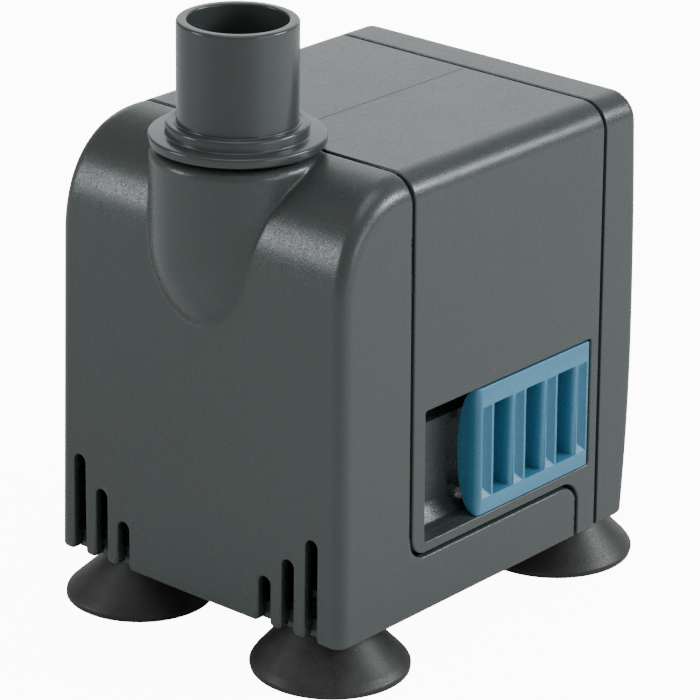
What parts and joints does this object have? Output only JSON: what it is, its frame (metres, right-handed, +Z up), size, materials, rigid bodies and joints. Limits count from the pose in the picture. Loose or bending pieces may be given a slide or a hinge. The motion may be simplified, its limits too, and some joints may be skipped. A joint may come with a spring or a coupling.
{
  "type": "submersible fountain pump",
  "caption": "Small box-shaped submersible pump with an upright hose outlet, slotted front cover, louvred side flow slider and suction cup feet.",
  "frame": {"origin": "centre of the bounding box's base, on the suction cup rims", "axes": "+Z up along the outlet, +X towards the side with the flow slider, -Y towards the front cover"},
  "size_m": [0.044, 0.059, 0.0707],
  "materials": {
    "body_plastic": "fine spark-eroded texture, satin",
    "nozzle_plastic": "smooth moulded, semi-gloss",
    "slider_plastic": "smooth moulded, satin blue",
    "cup_rubber": "soft moulded rubber, faint sheen",
    "seal_rubber": "moulded rubber, matte",
    "chamber_plastic": "moulded, satin",
    "impeller_plastic": "moulded, satin",
    "ferrite": "ground sintered ferrite",
    "ceramic": "ground ceramic",
    "core_steel": "stacked punched laminations",
    "winding_copper": "enamelled copper wire",
    "bobbin_plastic": "moulded, natural colour",
    "tinned_pin": "tinned",
    "resin": "cast epoxy"
  },
  "bodies": {
    "housing": {"motor_housing": "body_plastic", "rear_cover": "body_plastic", "potting_resin": "resin", "stator_core": "core_steel", "coil_bobbin": "bobbin_plastic", "coil_winding": "winding_copper", "terminal_pin_left": "tinned_pin", "terminal_pin_right": "tinned_pin", "cord_gland": "seal_rubber", "rear_bush": "seal_rubber", "rotor_shaft": "ceramic", "chamber_seal": "seal_rubber", "suction_cup_rear_left": "cup_rubber", "suction_cup_rear_right": "cup_rubber"},
    "front": {"front_cover": "body_plastic", "volute_casing": "chamber_plastic", "front_bush": "seal_rubber", "suction_cup_front_left": "cup_rubber", "suction_cup_front_right": "cup_rubber"},
    "outlet_ring": {"nozzle_seal": "seal_rubber"},
    "outlet": {"outlet_nozzle": "nozzle_plastic"},
    "slider": {"flow_slider": "slider_plastic"},
    "rotor": {"impeller": "impeller_plastic", "rotor_magnet": "ferrite", "front_thrust_washer": "ceramic", "rear_thrust_washer": "ceramic"}
  },
  "joints": [
    {"name": "slider_slide", "type": "slide", "parent": "housing", "child": "slider", "axis": [0, -1, 0], "range_m": [0, 0.0088]},
    {"name": "cover_pull", "type": "slide", "parent": "housing", "child": "front", "axis": [0, -1, 0], "range_m": [0, 0.03]},
    {"name": "nozzle_pull", "type": "slide", "parent": "front", "child": "outlet_ring", "axis": [0, 0, 1], "range_m": [0, 0.011]},
    {"name": "nozzle_swivel", "type": "hinge", "parent": "outlet_ring", "child": "outlet", "pos_m": [0, -0.02002, 0.0517], "axis": [0, 0, 1], "continuous": true},
    {"name": "rotor_spin", "type": "hinge", "parent": "housing", "child": "rotor", "pos_m": [0, -0.00628, 0.0257], "axis": [0, 1, 0], "continuous": true}
  ]
}
